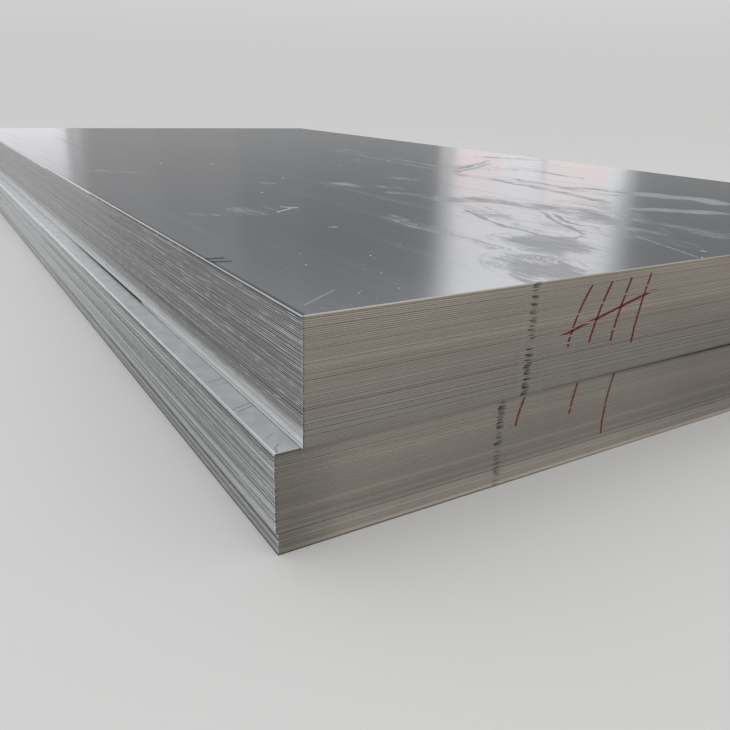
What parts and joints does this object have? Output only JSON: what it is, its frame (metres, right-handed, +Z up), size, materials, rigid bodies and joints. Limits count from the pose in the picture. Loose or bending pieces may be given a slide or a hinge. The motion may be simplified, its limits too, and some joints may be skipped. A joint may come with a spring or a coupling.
{
  "type": "steel plate stack",
  "caption": "Flat steel sheets stacked in packs, the upper pack set over so that a ledge shows along one side; raw stock for cutting, bending, pressing and welding.",
  "frame": {"origin": "on the floor, under the middle of the stack", "axes": "+X across the sheets, +Y along them away from the marked front end, +Z up"},
  "size_m": [1.5286, 3.0064, 0.2521],
  "materials": {
    "sheet_steel": "mill finish, lightly oiled, with sheared edges"
  },
  "bodies": {
    "root": {"lower_pack": "sheet_steel", "upper_pack": "sheet_steel"}
  },
  "joints": []
}
